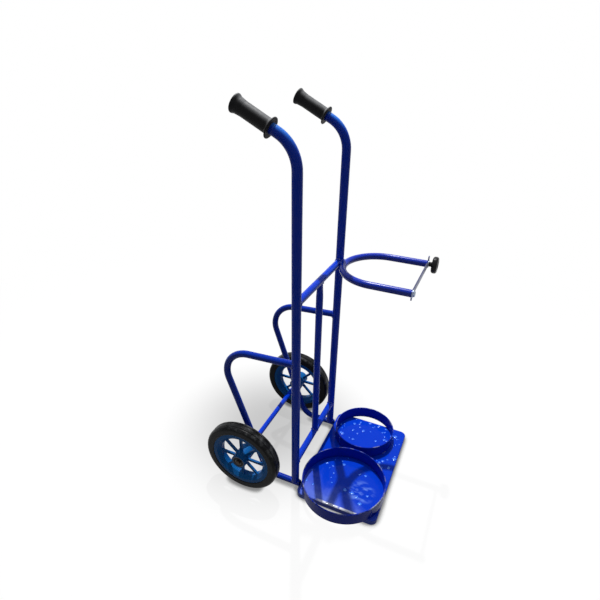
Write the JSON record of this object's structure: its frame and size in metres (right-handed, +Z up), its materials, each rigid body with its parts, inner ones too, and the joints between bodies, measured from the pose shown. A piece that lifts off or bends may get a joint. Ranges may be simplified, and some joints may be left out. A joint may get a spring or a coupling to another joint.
{
  "type": "gas cylinder trolley",
  "caption": "Wheeled gas cylinder trolley: bent tube frame with handle grips, folded base tray with cylinder rings, and a yoke closed by a swinging gate bar and clamp knob.",
  "frame": {"origin": "on the floor at the centre of the box that the trolley fills", "axes": "+Z up; the base tray and the yoke are towards -Y, the wheels and handles towards +Y; the pusher's right hand is at -X"},
  "size_m": [0.6312, 0.6816, 1.367],
  "materials": {
    "blue_paint": "gloss enamel",
    "zinc_steel": "zinc plated",
    "black_steel": "phosphated",
    "bearing_steel": "ground",
    "seal_rubber": "matt",
    "grip_rubber": "satin",
    "knob_plastic": "satin",
    "tyre_rubber": "matt",
    "rim_plastic": "moulded satin"
  },
  "bodies": {
    "frame": {"right_upright": "blue_paint", "left_upright": "blue_paint", "right_side_hoop": "blue_paint", "left_side_hoop": "blue_paint", "upper_crossbar": "blue_paint", "lower_crossbar": "blue_paint", "centre_strut": "blue_paint", "base_tray": "blue_paint", "large_ring": "blue_paint", "small_ring": "blue_paint", "cylinder_yoke": "blue_paint", "pivot_plug": "blue_paint", "clamp_plug": "blue_paint", "axle": "blue_paint", "axle_collars": "blue_paint", "pivot_washer": "zinc_steel", "pivot_bolt": "zinc_steel", "axle_clips": "black_steel", "right_bearing_inner_races": "bearing_steel", "left_bearing_inner_races": "bearing_steel", "right_grip": "grip_rubber", "left_grip": "grip_rubber"},
    "right_wheel": {"right_tyre": "tyre_rubber", "right_rim": "rim_plastic", "right_bearing_outer_races": "bearing_steel", "right_bearing_balls": "bearing_steel", "right_bearing_seals": "seal_rubber"},
    "left_wheel": {"left_tyre": "tyre_rubber", "left_rim": "rim_plastic", "left_bearing_outer_races": "bearing_steel", "left_bearing_balls": "bearing_steel", "left_bearing_seals": "seal_rubber"},
    "gate": {"gate_bar": "zinc_steel"},
    "clamp": {"clamp_washer": "zinc_steel"},
    "knob": {"clamp_knob": "knob_plastic", "knob_stud": "zinc_steel"}
  },
  "joints": [
    {"name": "right_wheel_spin", "type": "hinge", "parent": "frame", "child": "right_wheel", "pos_m": [-0.27437, 0.19075, 0.15], "axis": [1, 0, 0], "continuous": true},
    {"name": "left_wheel_spin", "type": "hinge", "parent": "frame", "child": "left_wheel", "pos_m": [0.23463, 0.19075, 0.15], "axis": [1, 0, 0], "continuous": true},
    {"name": "gate_swing", "type": "hinge", "parent": "frame", "child": "gate", "pos_m": [0.01613, -0.29855, 0.816], "axis": [0, -1, 0], "range_deg": [0, 270]},
    {"name": "knob_travel", "type": "slide", "parent": "frame", "child": "clamp", "axis": [0, -1, 0], "range_m": [0, 0.006]},
    {"name": "knob_turn", "type": "hinge", "parent": "clamp", "child": "knob", "pos_m": [0.28513, -0.30275, 0.816], "axis": [0, -1, 0], "range_deg": [0, 1440]}
  ],
  "couplings": [
    {"joint": "knob_travel", "follows": "knob_turn", "m_per_rad": 0.00023873}
  ]
}
